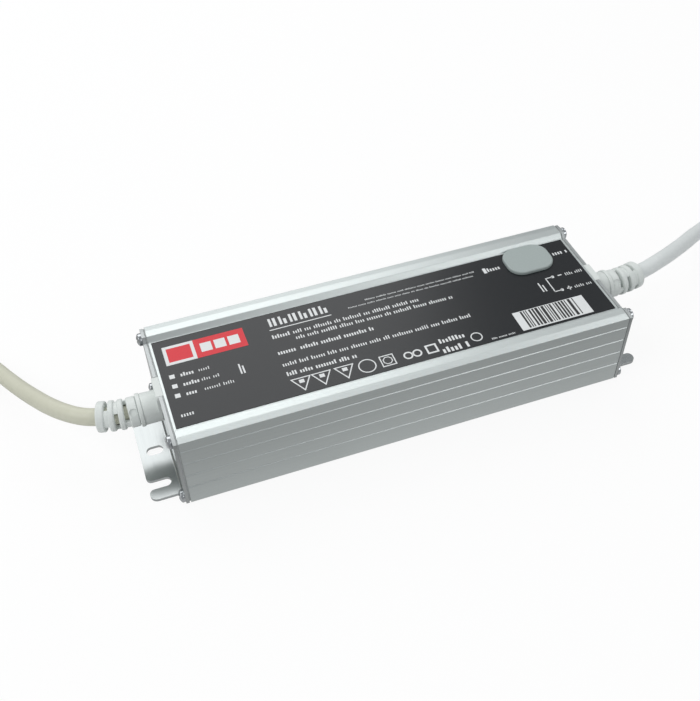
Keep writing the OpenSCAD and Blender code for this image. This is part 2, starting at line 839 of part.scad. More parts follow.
module circuit_board() {
    color("#2e6b3f") translate([-board_l / 2, -board_w / 2, board_z])
        cube([board_l, board_w, board_t]);
}

module insulating_sheet() {
    color("#e8e6da") translate([-board_l / 2, -bed_w / 2, wall]) cube([board_l, bed_w, sheet_t]);
}

module potting_bed() {
    bottom = wall + sheet_t;
    color("#6f7275") translate([-board_l / 2, -bed_w / 2, bottom])
        cube([board_l, bed_w, board_z - bottom]);
}

module fuse() {
    color("#d9dde0") on_board(from_input(fuse_in), -fuse_l / 2 - fuse_side)
        translate([0, 0, fuse_cap_d / 2 + rest_gap]) rotate([90, 0, 0]) {
            cylinder(d = fuse_d, h = fuse_l, center = true);
            for (end = [-1, 1]) translate([0, 0, end * (fuse_l - fuse_cap_l) / 2])
                cylinder(d = fuse_cap_d, h = fuse_cap_l, center = true);
        }
}

module varistor() {
    color("#2c5fa8") on_board(from_input(fuse_in), varistor_d / 2 + varistor_side) {
        translate([0, 0, leg_l + varistor_d / 2]) rotate([0, 90, 0])
            cylinder(d = varistor_d, h = varistor_t, center = true);
        for (y = [-1, 1]) translate([0, y * varistor_d / 4, 0])
            cylinder(d = leg_d, h = leg_l + varistor_d / 4, $fn = 24);
    }
}

module line_filter_capacitor() {
    color("#d8b440") on_board(from_input(film_in), 0) linear_extrude(film_h)
        rounded(film_t, film_l, film_r);
}

// A ring core lying on its coils, and the coils round it
module ring_core(d, bore, h) {
    translate([0, 0, coil_wall + coil_play]) difference() {
        cylinder(d = d, h = h);
        translate([0, 0, -cut]) cylinder(d = bore, h = h + 2 * cut);
    }
}

module ring_coils(d, bore, h) {
    depth = (d - bore) / 2 + 2 * coil_play;
    for (half = [0, 180]) rotate([0, 0, half + 90 - coil_a / 2]) rotate_extrude(angle = coil_a)
        translate([bore / 2 - coil_play, 0]) difference() {
            translate([-coil_wall, 0]) square([depth + 2 * coil_wall, h + 2 * (coil_wall + coil_play)]);
            translate([0, coil_wall]) square([depth, h + 2 * coil_play]);
        }
}

module line_choke_core() {
    color("#55585a") on_board(from_input(line_choke_in), line_choke_y)
        ring_core(line_core_d, line_core_bore, line_core_h);
}

module line_choke_coils() {
    color("#b5703a") on_board(from_input(line_choke_in), line_choke_y)
        ring_coils(line_core_d, line_core_bore, line_core_h);
}

// A ferrite pot with open sides, and the coil in it
module pot_core(side, h) {
    plate = h * pot_plate;
    difference() {
        translate([-side / 2, -side / 2, 0]) cube([side, side, h]);
        difference() {
            translate([0, 0, plate]) union() {
                cylinder(d = side * pot_bore, h = h - 2 * plate);
                translate([-side * pot_gate / 2, -side / 2 - cut, 0])
                    cube([side * pot_gate, side + 2 * cut, h - 2 * plate]);
            }
            cylinder(d = side * pot_post, h = h);
        }
    }
}

module pot_coil(side, h) {
    plate = h * pot_plate;
    translate([0, 0, plate]) difference() {
        cylinder(d = side * pot_bore - 2 * coil_play, h = h - 2 * plate - coil_play);
        translate([0, 0, -cut]) cylinder(d = side * pot_post + 2 * coil_play, h = h);
    }
}

module power_factor_choke_core() {
    color("#4a4d4f") on_board(from_input(pfc_in), pfc_y) pot_core(pfc_l, pfc_h);
}

module power_factor_choke_coil() {
    color("#b5703a") on_board(from_input(pfc_in), pfc_y) pot_coil(pfc_l, pfc_h);
}

// A can of an electrolytic capacitor standing on Z = 0, with its crimped bead
module can(d, h) {
    bead = d / 12;
    rotate_extrude() difference() {
        square([d / 2, h]);
        translate([d / 2 + bead / 2, 2 * bead]) circle(bead, $fn = 24);
        translate([d / 2, h]) rotate(180) corner_waste(bead / 2, $fn = 24);
    }
}

module bulk_capacitor() {
    color("#2b2f38") on_board(from_input(bulk_in) - bulk_l / 2, bulk_y)
        translate([0, 0, bulk_d / 2 + rest_gap]) rotate([0, 90, 0]) can(bulk_d, bulk_l);
}

module transformer_core() {
    color("#4a4d4f") on_board(from_output(transformer_in), transformer_y)
        pot_core(transformer_l, transformer_h);
}

module transformer_coil() {
    color("#d9c34a") on_board(from_output(transformer_in), transformer_y)
        pot_coil(transformer_l, transformer_h);
}

module output_choke_core() {
    color("#c9b53a") on_board(from_output(out_choke_in), out_choke_y)
        ring_core(out_core_d, out_core_bore, out_core_h);
}

module output_choke_coils() {
    color("#b5703a") on_board(from_output(out_choke_in), out_choke_y)
        ring_coils(out_core_d, out_core_bore, out_core_h);
}

module output_capacitors() {
    color("#2b2f38") for (i = [0:out_cap_n - 1])
        on_board(from_output(out_cap_in), out_cap_y - out_cap_pitch * i) can(out_cap_d, out_cap_h);
}

// Bars that carry heat from the semiconductors into the walls, standing on the upper guides
module heat_spreaders() {
    color("#c4c8c8") {
        translate([from_input(in_spreader_in) - spreader_l / 2, spreader_y, guide_top])
            cube([spreader_l, spreader_t, spreader_h]);
        translate([from_output(out_spreader_in) - spreader_l / 2, -spreader_y - spreader_t, guide_top])
            cube([spreader_l, spreader_t, spreader_h]);
    }
}

// A transistor with its back on Y = 0, standing on its legs
module transistor() {
    translate([-transistor_w / 2, -transistor_t, chip_z])
        cube([transistor_w, transistor_t, transistor_body_h]);
    translate([-transistor_w / 2, -transistor_tab_t, chip_z])
        cube([transistor_w, transistor_tab_t, transistor_h]);
    for (i = [-1:1]) translate([i * transistor_w / 4, -transistor_t / 2, 0])
        cylinder(d = leg_d, h = chip_z + cut, $fn = 24);
}

module transistor_row() {
    for (i = [0:transistor_n - 1]) translate([i * transistor_pitch, 0, 0]) transistor();
}

module power_transistors() {
    first = transistor_pitch / 2 - spreader_l / 4;
    color("#26282b") {
        on_board(from_input(in_spreader_in) - first, spreader_y) transistor_row();
        on_board(from_output(out_spreader_in) + first, -spreader_y) rotate([0, 0, 180])
            transistor_row();
    }
}

module bridge_rectifier() {
    color("#202225") on_board(from_input(in_spreader_in) - spreader_l / 2 + bridge_l / 2, spreader_y) {
        translate([-bridge_l / 2, -bridge_t, chip_z]) cube([bridge_l, bridge_t, bridge_h]);
        for (i = [-1.5:1.5]) translate([i * bridge_l / 5, -bridge_t / 2, 0])
            cylinder(d = leg_d, h = chip_z + cut, $fn = 24);
    }
}

// Trimmers under the plug: a body with a seat for its rotor
module trimmer_body() {
    difference() {
        translate([-trimmer_l / 2, -trimmer_l / 2, 0]) cube([trimmer_l, trimmer_l, trimmer_h]);
        translate([0, 0, trimmer_h - rotor_seat])
            cylinder(r = rotor_d / 2 + rotor_play, h = rotor_seat + cut);
    }
}

module trimmer_rotor() {
    height = rotor_seat - trimmer_floor + rotor_proud;
    translate([0, 0, trimmer_h - rotor_seat + trimmer_floor]) difference() {
        cylinder(d = rotor_d, h = height);
        translate([-rotor_d, -rotor_slot / 2, height - rotor_proud])
            cube([2 * rotor_d, rotor_slot, rotor_proud + cut]);
    }
}

module voltage_trimmer_body() {
    color("#2f6fb0") on_board(plug_x - trimmer_pitch / 2, plug_y) trimmer_body();
}

module voltage_trimmer_rotor() {
    color("#e4e4de") on_board(plug_x - trimmer_pitch / 2, plug_y) trimmer_rotor();
}

module current_trimmer_body() {
    color("#2f6fb0") on_board(plug_x + trimmer_pitch / 2, plug_y) trimmer_body();
}

module current_trimmer_rotor() {
    color("#e4e4de") on_board(plug_x + trimmer_pitch / 2, plug_y) trimmer_rotor();
}

case_extrusion();
input_end_plate();
output_end_plate();
input_gasket();
output_gasket();
end_screws();
input_strain_relief();
output_strain_relief();
rating_label();
adjuster_plug();
input_cable();
output_cable();
brown_core();
blue_core();
earth_core();
black_core();
white_core();
core_tips();
circuit_board();
insulating_sheet();
potting_bed();
fuse();
varistor();
line_filter_capacitor();
line_choke_core();
line_choke_coils();
bridge_rectifier();
power_factor_choke_core();
power_factor_choke_coil();
bulk_capacitor();
transformer_core();
transformer_coil();
output_choke_core();
output_choke_coils();
output_capacitors();
heat_spreaders();
power_transistors();
voltage_trimmer_body();
voltage_trimmer_rotor();
current_trimmer_body();
current_trimmer_rotor();
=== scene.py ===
import math
import random

import bpy
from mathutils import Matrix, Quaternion, Vector


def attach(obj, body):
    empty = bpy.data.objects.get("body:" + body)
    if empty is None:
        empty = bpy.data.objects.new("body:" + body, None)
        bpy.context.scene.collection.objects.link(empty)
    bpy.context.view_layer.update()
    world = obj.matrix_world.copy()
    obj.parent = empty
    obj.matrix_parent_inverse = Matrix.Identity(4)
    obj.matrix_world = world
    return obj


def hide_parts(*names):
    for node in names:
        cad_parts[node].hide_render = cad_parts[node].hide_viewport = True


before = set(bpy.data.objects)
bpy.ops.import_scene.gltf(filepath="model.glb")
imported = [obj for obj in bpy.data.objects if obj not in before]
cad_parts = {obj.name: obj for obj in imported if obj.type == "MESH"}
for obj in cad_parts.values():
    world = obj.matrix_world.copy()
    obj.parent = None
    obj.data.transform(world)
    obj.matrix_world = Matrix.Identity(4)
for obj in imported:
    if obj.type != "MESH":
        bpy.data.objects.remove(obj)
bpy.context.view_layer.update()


# Circuit board on its bed of potting compound, over the insulating sheet.
# Glass-epoxy laminate under green solder mask, cast into a grey filled silicone
# that fixes it in the case; a pale polyester sheet keeps it off the metal.
def linear(code):
    """An sRGB hex colour as the linear colour that a shader socket takes."""
    parts = [int(code[i:i + 2], 16) / 255 for i in (1, 3, 5)]
    return [c / 12.92 if c <= 0.04045 else ((c + 0.055) / 1.055) ** 2.4 for c in parts] + [1.0]


def node(finish, kind, sockets, **settings):
    """Adds a shader node, or takes the one of that name: a pair is a link, the rest are values."""
    tree = finish.node_tree
    made = tree.nodes[kind] if kind in tree.nodes else tree.nodes.new(kind)
    for name, value in settings.items():
        setattr(made, name, value)
    for socket, value in sockets.items():
        if isinstance(value, tuple):
            tree.links.new(value[0].outputs[value[1]], made.inputs[socket])
        else:
            made.inputs[socket].default_value = value
    return made


def finish_named(name):
    """A new material, named for the real one."""
    made = bpy.data.materials.new(name)
    made.use_nodes = True
    return made


def mottled(name, colour, shade, grain_mm, relief_mm, **gloss):
    """A moulded, cast or coated finish: two close colours and a fine grain of a real size."""
    made = finish_named(name)
    where = node(made, "ShaderNodeTexCoord", {})
    grain = node(made, "ShaderNodeTexNoise",
                 {"Vector": (where, "Object"), "Scale": 1000 / grain_mm, "Detail": 3.0})
    mixed = node(made, "ShaderNodeMix",
                 {0: (grain, 0), 6: linear(colour), 7: linear(shade)}, data_type="RGBA")
    bump = node(made, "ShaderNodeBump",
                {"Height": (grain, 0), "Strength": 0.5, "Distance": relief_mm / 1000})
    node(made, "Principled BSDF", {"Base Color": (mixed, 2), "Normal": (bump, 0), **gloss})
    return made


def dress(finish, *names):
    """Gives CAD solids their finish, through their own material slots."""
    for name in names:
        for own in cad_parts[name].material_slots:
            own.material = finish


# Solder mask is a glossy green lacquer with a faint weave of the glass cloth under it.
dress(mottled("solder_mask", "#2e6b3f", "#255a35", 0.6, 0.02, Roughness=0.3), "circuit_board")
# Polyester sheet is pale, smooth and a little cloudy.
dress(mottled("polyester_sheet", "#e8e6da", "#dedccf", 3, 0.01, Roughness=0.4), "insulating_sheet")
# Filled silicone sets matt, with tiny pits where air came out.
dress(mottled("potting_silicone", "#6f7276", "#66696d", 1.5, 0.1, Roughness=0.7), "potting_bed")

# Line-side parts: a glass fuse, a disc varistor and a boxed film capacitor.
# Soldered into the board beside the input cores; dipped or moulded plastics.
# Fuse glass shows the pale end caps and filler through it.
dress(mottled("fuse_glass", "#d8dcdf", "#c6cbd0", 2, 0.01, Roughness=0.08, IOR=1.5), "fuse")
# Dipped epoxy is glossy blue and slightly wavy.
dress(mottled("dipped_epoxy", "#2c5fa8", "#275596", 2, 0.05, Roughness=0.28), "varistor")
# Moulded PBT box in yellow, with a fine satin grain.
dress(mottled("yellow_pbt", "#d8b63e", "#ceaa36", 0.5, 0.02, Roughness=0.42), "line_filter_capacitor")

# Wound parts: line choke, power factor choke, transformer and output choke.
# Sintered ferrite and painted powder cores, with enamelled wire or tape on top.
# Sintered ferrite is near black, matt and grainy.
dress(mottled("sintered_ferrite", "#4a4c4e", "#3e4042", 0.4, 0.04, Roughness=0.75),
      "line_choke_core", "power_factor_choke_core", "transformer_core")
# Powder cores carry a thick yellow epoxy paint.
dress(mottled("core_paint", "#c9b53a", "#bda932", 1, 0.04, Roughness=0.45), "output_choke_core")
# Polyester tape is glossy yellow with clouded glue under it.
dress(mottled("winding_tape", "#d8c24a", "#cdb540", 4, 0.02, Roughness=0.3), "transformer_coil")
# Enamelled wire lies turn by turn: 1 mm bands of copper under clear amber varnish.
wire = finish_named("enamelled_copper_wire")
wire_where = node(wire, "ShaderNodeTexCoord", {})
wire_turns = node(wire, "ShaderNodeTexWave",
                  {"Vector": (wire_where, "Object"), "Scale": 1000 / 6.28, "Distortion": 0.6},
                  bands_direction="DIAGONAL")
wire_mixed = node(wire, "ShaderNodeMix",
                  {0: (wire_turns, 1), 6: linear("#7c3f1a"), 7: linear("#c2702f")}, data_type="RGBA")
wire_bump = node(wire, "ShaderNodeBump",
                 {"Height": (wire_turns, 1), "Strength": 0.8, "Distance": 0.0002})
node(wire, "Principled BSDF",
     {"Base Color": (wire_mixed, 2), "Normal": (wire_bump, 0), "Metallic": 0.7,
      "Roughness": 0.28, "Coat Weight": 0.5})
dress(wire, "line_choke_coils", "power_factor_choke_coil", "output_choke_coils")

# Electrolytic capacitors: one bulk can and three output cans.
# Drawn aluminium cans in a shrunk PET sleeve, soldered to the board.
# Shrunk sleeve is glossy black-blue and pulls into faint waves.
dress(mottled("shrunk_sleeve", "#2a2d34", "#24272d", 5, 0.05, Roughness=0.25),
      "bulk_capacitor", "output_capacitors")

# Rectifier and power transistors on their heat spreaders.
# Transfer-moulded epoxy bodies clamped to bent aluminium strips.
# Moulding compound is matt black with the grit of its silica filler.
dress(mottled("epoxy_moulding", "#262729", "#1f2022", 0.3, 0.02, Roughness=0.55),
      "bridge_rectifier", "power_transistors")
# Mill-finish aluminium is bright, with soft rolling streaks.
dress(mottled("mill_aluminium", "#c9cccc", "#b7bbbb", 2, 0.01, Roughness=0.35, Metallic=1.0),
      "heat_spreaders")

# Two trimmer potentiometers under the plug, one for voltage and one for current.
# Square PBT bodies soldered to the board; the slotted nylon rotors turn in them.
# Blue PBT, satin from its mould.
dress(mottled("blue_pbt", "#2f6fae", "#29639c", 0.5, 0.02, Roughness=0.4),
      "voltage_trimmer_body", "current_trimmer_body")
# Natural nylon is milky and slightly waxy.
dress(mottled("natural_nylon", "#e4e4de", "#dadad2", 0.8, 0.02, Roughness=0.38),
      "voltage_trimmer_rotor", "current_trimmer_rotor")


# Case: one length of extruded aluminium with two rails and four grooves a side.
# Pressed through a die, sawn to length, its edges broken and its skin anodised clear.
def eased(name, edge_mm, finish, smooth=35):
    """A copy of a CAD solid, its edges broken by so many mm, if any; it stands for that solid."""
    bpy.ops.object.select_all(action="DESELECT")
    piece = bpy.data.objects.new(name + "_finished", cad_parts[name].data.copy())
    bpy.context.scene.collection.objects.link(piece)
    bpy.context.view_layer.objects.active = piece
    piece.select_set(True)
    bpy.ops.mesh.customdata_custom_splitnormals_clear()
    bpy.ops.object.mode_set(mode="EDIT")
    bpy.ops.mesh.select_all(action="SELECT")
    bpy.ops.mesh.remove_doubles(threshold=0.000002)
    bpy.ops.mesh.dissolve_limited(angle_limit=math.radians(0.5))
    bpy.ops.object.mode_set(mode="OBJECT")
    if edge_mm:
        edge = piece.modifiers.new("broken_edges", "BEVEL")
        edge.width = edge_mm / 1000
        edge.segments = 2
        edge.limit_method = "ANGLE"
        edge.angle_limit = math.radians(32)
        edge.use_clamp_overlap = False
        bpy.ops.object.modifier_apply(modifier=edge.name)
    bpy.ops.object.shade_smooth_by_angle(angle=math.radians(smooth))
    flats = piece.modifiers.new("true_flats", "WEIGHTED_NORMAL")
    flats.keep_sharp = True
    bpy.ops.object.modifier_apply(modifier=flats.name)
    piece.data.materials.clear()
    piece.data.materials.append(finish)
    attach(piece, "driver")
    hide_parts(name)


# Clear-anodised aluminium: a satin grey metal, with die lines along its length.
# Real die lines are about 0.1 mm apart; they are drawn 1 mm apart so that they show.
aluminium = finish_named("clear_anodised_aluminium")
case_where = node(aluminium, "ShaderNodeTexCoord", {})
case_along = node(aluminium, "ShaderNodeMapping",
                  {"Vector": (case_where, "Object"), "Scale": [7, 1000, 1000]})
die_lines = node(aluminium, "ShaderNodeTexNoise",
                 {"Vector": (case_along, 0), "Scale": 1.0, "Detail": 4.0, "Roughness": 0.6})
etch_grain = node(aluminium, "ShaderNodeTexNoise",
                  {"Vector": (case_where, "Object"), "Scale": 1000 / 0.5, "Detail": 2.0})
case_tone = node(aluminium, "ShaderNodeMix",
                 {0: (die_lines, 0), 6: linear("#c2c8c7"), 7: linear("#cdd3d2")}, data_type="RGBA")
case_rough = node(aluminium, "ShaderNodeMapRange",
                  {0: (etch_grain, 0), 1: 0.3, 2: 0.7, 3: 0.36, 4: 0.46})
case_bump = node(aluminium, "ShaderNodeBump",
                 {"Height": (die_lines, 0), "Strength": 0.25, "Distance": 0.0001})
case_grit = node(aluminium, "ShaderNodeBump",
                 {"Height": (etch_grain, 0), "Strength": 0.15, "Distance": 0.0001,
                  "Normal": (case_bump, 0)})
node(aluminium, "Principled BSDF",
     {"Base Color": (case_tone, 2), "Metallic": 1.0, "Roughness": (case_rough, 0),
      "Normal": (case_grit, 0)})
eased("case_extrusion", 0.12, aluminium, 6)

# Gaskets between the case and its end plates.
# Die-cut pale silicone sheet, squeezed by the end screws; matt, with open pores.
gasket = mottled("silicone_sheet", "#b4b8b7", "#a6aaa9", 0.5, 0.04, Roughness=0.75)
eased("input_gasket", 0.1, gasket)
eased("output_gasket", 0.1, gasket)

# End plates: each closes one end of the case and folds out into a slotted foot.
# Punched and folded stainless sheet, held by four screws.
# Cold-rolled stainless is satin, brushed across the case by its rolls, and its
# sheared top edge, from 35 mm up, is duller than its faces.
plate = finish_named("rolled_stainless_sheet")
plate_where = node(plate, "ShaderNodeTexCoord", {})
plate_across = node(plate, "ShaderNodeMapping",
                    {"Vector": (plate_where, "Object"), "Scale": [1400, 40, 1400]})
roll_lines = node(plate, "ShaderNodeTexNoise",
                  {"Vector": (plate_across, 0), "Scale": 1.0, "Detail": 3.0})
plate_tone = node(plate, "ShaderNodeMix",
                  {0: (roll_lines, 0), 6: linear("#a9adad"), 7: linear("#b5b9b9")}, data_type="RGBA")
plate_bump = node(plate, "ShaderNodeBump",
                  {"Height": (roll_lines, 0), "Strength": 0.2, "Distance": 0.00005})
plate_height = node(plate, "ShaderNodeSeparateXYZ", {0: (plate_where, "Object")})
sheared_edge = node(plate, "ShaderNodeMapRange",
                    {0: (plate_height, 2), 1: 0.0348, 2: 0.0358, 3: 0.2, 4: 0.46})
node(plate, "Principled BSDF",
     {"Base Color": (plate_tone, 2), "Metallic": 1.0, "Roughness": (sheared_edge, 0),
      "Normal": (plate_bump, 0)})
eased("input_end_plate", 0.04, plate)
eased("output_end_plate", 0.04, plate)

# Eight end screws, four to a plate.
# Cold-headed steel with cross recesses, zinc plated: bluish and half bright.
zinc = mottled("zinc_plate", "#c3c6c8", "#b2b6b9", 0.8, 0.01, Roughness=0.2, Metallic=1.0)
eased("end_screws", 0.12, zinc)

# Strain reliefs: slotted sleeves that bend with the cables.
# Moulded over the cable in grey PVC and snapped into the end plates.
# Soft PVC from a blasted mould: matt, pale grey, with a fine grain.
relief = mottled("moulded_soft_pvc", "#dde2df", "#d4d9d6", 0.7, 0.04, Roughness=0.5)
eased("input_strain_relief", 0, relief)
eased("output_strain_relief", 0, relief)


# Input cable: three cores in a cream PVC jacket, bared at its end.
# It leaves through the strain relief, falls to the table and lies in a loose bend.
def tube(name, route_mm, diameter_mm):
    """A round tube on one smooth open line through the points of a route."""
    line = bpy.data.curves.new(name, "CURVE")
    line.dimensions = "3D"
    line.bevel_depth = diameter_mm / 2000
    line.bevel_resolution = 6
    line.resolution_u = 8
    line.use_fill_caps = True
    spline = line.splines.new("BEZIER")
    spline.bezier_points.add(len(route_mm) - 1)
    for point, place in zip(spline.bezier_points, route_mm):
        point.co = [v / 1000 for v in place]
        point.handle_left_type = "AUTO"
        point.handle_right_type = "AUTO"
    piece = bpy.data.objects.new(name, line)
    bpy.context.scene.collection.objects.link(piece)
    return piece


def core(name, inner_mm, bared_mm, finish):
    """An insulated core: its stretch in the case and its bared end, each a mesh tube."""
    core_mm = 2.4
    bpy.ops.object.select_all(action="DESELECT")
    for part in (tube(name + "_bared", bared_mm, core_mm), tube(name + "_finished", inner_mm, core_mm)):
        part.select_set(True)
        bpy.context.view_layer.objects.active = part
    bpy.ops.object.convert(target="MESH")
    bpy.ops.object.join()
    piece = bpy.context.view_layer.objects.active
    bpy.ops.object.mode_set(mode="EDIT")
    bpy.ops.mesh.select_all(action="SELECT")
    bpy.ops.mesh.remove_doubles(threshold=0.000002)
    bpy.ops.mesh.normals_make_consistent(inside=False)
    bpy.ops.object.mode_set(mode="OBJECT")
    bpy.ops.object.shade_smooth_by_angle(angle=math.radians(40))
    piece.data.materials.clear()
    piece.data.materials.append(finish)
    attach(piece, "driver")
    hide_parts(name)
    return piece


def inner_route(side, y, pad):
    """A core's way from the cable down to its pad on the board."""
    exit_z = 25.6
    pad_x = side * 86
    return [[side * 93.3, y, exit_z], [side * 90.9, y, exit_z], [side * 87.2, (2 * y + pad) / 3, 20.8],
            [pad_x, (y + 2 * pad) / 3, 16], [pad_x, pad, 12.1], [pad_x, pad, 9.7]]


def from_end(route_mm, steps):
    """A bared core's way from where the jacket stops: sideways steps and heights over the table."""
    end = route_mm[-1]
    return [[end[0] + dx, end[1] + dy, z] for dx, dy, z in steps]


input_route = [
    [-93.3, 0, 25.6], [-100, 0, 25.6], [-113.1, 0, 25.6], [-116.89, 0.33, 25.6], [-120.63, 0.99, 25.6],
    [-125.26, 2.23, 25.6], [-131.26, 5.03, 25.38], [-137.26, 10.23, 24.5], [-143.26, 18.43, 21.88],
    [-148.26, 27.23, 18.81], [-154.26, 39.23, 14.43], [-160.26, 52.23, 10.05], [-166.26, 65.23, 6.55],
    [-174.26, 78.23, 4.36], [-186.26, 87.23, 3.77], [-201.26, 90.23, 3.7], [-217.26, 87.23, 3.7],
    [-231.26, 77.23, 3.7], [-240.26, 62.23, 3.7], [-243.26, 45.23, 3.7], [-243.26, 25.23, 3.7],
    [-243.26, 4.23, 3.7]]
# Extruded PVC jacket: cream, half matt, with faint clouding along it.
cream_jacket = mottled("cream_pvc_jacket", "#cecebd", "#c4c4b1", 2.5, 0.05, Roughness=0.45)
input_cable = tube("input_cable_jacket", input_route, 7.4)
input_cable.data.materials.append(cream_jacket)
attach(input_cable, "driver")
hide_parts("input_cable")

# Core insulation: coloured PVC, glossy from its die.
brown = mottled("brown_pvc", "#6b4023", "#603819", 1.5, 0.02, Roughness=0.35)
blue = mottled("blue_pvc", "#2f64b0", "#295a9f", 1.5, 0.02, Roughness=0.35)
green = mottled("green_pvc", "#3f8f3a", "#387f34", 1.5, 0.02, Roughness=0.35)
yellow = mottled("yellow_pvc", "#dccb3a", "#d1bf33", 1.5, 0.02, Roughness=0.35)
brown_steps = [[-1.6, 0, 3.2], [-1.6, -3, 3.2], [-3, -13, 2.2], [-7, -24, 1.4], [-12, -32, 1.4],
               [-16.2, -38.8, 1.4]]
blue_steps = [[0, 0, 5.6], [0, -3, 5.6], [0, -13, 3.8], [0, -24, 1.7], [0, -34, 1.4], [0, -42, 1.4]]
earth_steps = [[-dx, dy, z] for dx, dy, z in brown_steps]
brown_bared = from_end(input_route, brown_steps)
blue_bared = from_end(input_route, blue_steps)
earth_bared = from_end(input_route, earth_steps)
brown_core = core("brown_core", inner_route(-1, -2.4, -6), brown_bared[:-1], brown)
blue_core = core("blue_core", inner_route(-1, 0, 0), blue_bared[:-1], blue)
earth_core = core("earth_core", inner_route(-1, 2.4, 6), earth_bared[:-1], yellow)
# The earth core has a green stripe along each side of the yellow.
earth_core.data.materials.append(green)
for face in earth_core.data.polygons:
    face.material_index = 1 if face.index % 8 < 3 else 0

# Output cable: two cores in a grey PVC jacket, bared at its end.
# It leaves the other end of the case and curls round on the table.
output_route = [
    [93.3, 0, 25.6], [100, 0, 25.6], [113.1, 0, 25.6], [116.89, 0.27, 25.6], [120.65, 0.79, 25.6],
    [125.35, 1.79, 25.6], [132.35, 3.49, 25.38], [139.35, 5.99, 24.94], [147.35, 9.79, 23.2],
    [156.35, 14.79, 20.57], [166.35, 20.79, 17.3], [177.35, 27.79, 13.58], [188.35, 34.19, 10.09],
    [200.35, 41.19, 6.59], [213.35, 46.19, 4.41], [228.35, 46.19, 3.82], [242.35, 40.79, 3.75],
    [253.35, 30.19, 3.75], [258.95, 16.19, 3.75], [259.35, 1.19, 3.75], [254.35, -13.21, 3.75],
    [244.95, -25.81, 3.75], [235.35, -37.81, 3.75], [226.95, -47.81, 3.75]]
# The same jacket in light grey.
grey_jacket = mottled("grey_pvc_jacket", "#e0e4e3", "#d6dbda", 2.5, 0.05, Roughness=0.45)
output_cable = tube("output_cable_jacket", output_route, 7.5)
output_cable.data.materials.append(grey_jacket)
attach(output_cable, "driver")
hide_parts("output_cable")

black = mottled("black_pvc", "#262628", "#1f1f21", 1.5, 0.02, Roughness=0.35)
white = mottled("white_pvc", "#ebebe6", "#e1e1da", 1.5, 0.02, Roughness=0.35)
black_bared = from_end(output_route, [[-1.3, 1, 3.8], [-3.3, -1.3, 3.8], [-10.5, -8, 2.8],
                                      [-19, -13.5, 1.4], [-28, -17, 1.4], [-35.5, -19.9, 1.4]])
white_bared = from_end(output_route, [[1.1, -1, 3.8], [-0.8, -3.3, 3.8], [-5.5, -13, 2.8],
                                      [-8.5, -24, 1.4], [-10, -35, 1.4], [-11.1, -43, 1.4]])
black_core = core("black_core", inner_route(1, -1.6, -3), black_bared[:-1], black)
white_core = core("white_core", inner_route(1, 1.6, 3), white_bared[:-1], white)

# Stripped tips of the five cores: seven tinned copper strands each, twisted together.
# The insulation is pulled off and the strands are given a half turn.
# Tin is bright, soft and a little yellow.
tin = mottled("tinned_copper_strand", "#c9cac4", "#b5b6b0", 0.4, 0.02, Roughness=0.25, Metallic=1.0)


def stripped(name, ways):
    """The stripped tips of one cable's cores, as one piece: six strands round a seventh."""
    strand_mm = 0.46
    steps = 8
    bpy.ops.object.select_all(action="DESELECT")
    for way in ways:
        root = Vector(way[-2])
        along = Vector(way[-1]) - root
        across = along.cross(Vector((0, 0, 1))).normalized()
        lines = [[root, root + along]]
        for i in range(6):
            lines.append([])
            for step in range(steps + 1):
                turn = math.pi * (i / 3 + step / steps)
                off = across * math.cos(turn) + Vector((0, 0, 1)) * math.sin(turn)
                lines[-1].append(root + along * step / steps + strand_mm * off)
        for line in lines:
            strand = tube(name, line, strand_mm)
            strand.data.bevel_resolution = 1
            strand.data.resolution_u = 2
            strand.select_set(True)
            bpy.context.view_layer.objects.active = strand
    bpy.ops.object.convert(target="MESH")
    bpy.ops.object.join()
    piece = bpy.context.view_layer.objects.active
    piece.name = name
    bpy.ops.object.mode_set(mode="EDIT")
    bpy.ops.mesh.select_all(action="SELECT")
    bpy.ops.mesh.normals_make_consistent(inside=False)
    bpy.ops.object.mode_set(mode="OBJECT")
    bpy.ops.object.shade_smooth_by_angle(angle=math.radians(60))
    piece.data.materials.clear()
    piece.data.materials.append(tin)
    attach(piece, "driver")
    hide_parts("core_tips")
    return piece


input_tips = stripped("input_core_strands", (brown_bared, blue_bared, earth_bared))
output_tips = stripped("output_core_strands", (black_bared, white_bared))

# Label film on the floor of the case's top channel.
# Dark polyester film with a satin clear coat, laid on with its own glue.
# The film is near black; its coat takes the light as one soft sheen.
film = finish_named("dark_polyester_film")
film_where = node(film, "ShaderNodeTexCoord", {})
film_grain = node(film, "ShaderNodeTexNoise",
                  {"Vector": (film_where, "Object"), "Scale": 1000 / 0.6, "Detail": 2.0})
film_tone = node(film, "ShaderNodeMix",
                 {0: (film_grain, 0), 6: linear("#15181b"), 7: linear("#1a1d20")}, data_type="RGBA")
film_bump = node(film, "ShaderNodeBump",
                 {"Height": (film_grain, 0), "Strength": 0.1, "Distance": 0.00005})
node(film, "Principled BSDF",
     {"Base Color": (film_tone, 2), "Roughness": 0.26, "Specular IOR Level": 0.45,
      "Normal": (film_bump, 0)})
dress(film, "rating_label")

# Print on the film: fields of ink, rows of plain ticks and simple outlines.
# Screen printed in white, red and black, each about 0.03 mm thick.
film_top = 36.9
ink_mm = 0.03
ink_gap = 0.02


def start_print(name):
    """An empty ink layer, open for drawing on the film's face."""
    bpy.ops.object.select_all(action="DESELECT")
    bpy.ops.mesh.primitive_plane_add(size=0.001, location=(0, 0, 0))
    bpy.context.active_object.name = name
    bpy.ops.object.mode_set(mode="EDIT")
    bpy.ops.mesh.delete(type="VERT")


def field(x0, x1, y0, y1):
    """One flat field of ink between two corners, in mm, less a hair so that neighbours stay apart."""
    middle = ((x0 + x1) / 2000, (y0 + y1) / 2000, film_top / 1000)
    bpy.ops.mesh.primitive_plane_add(size=0.001, location=middle)
    bpy.ops.transform.resize(value=(x1 - x0 - ink_gap, y1 - y0 - ink_gap, 1), center_override=middle)


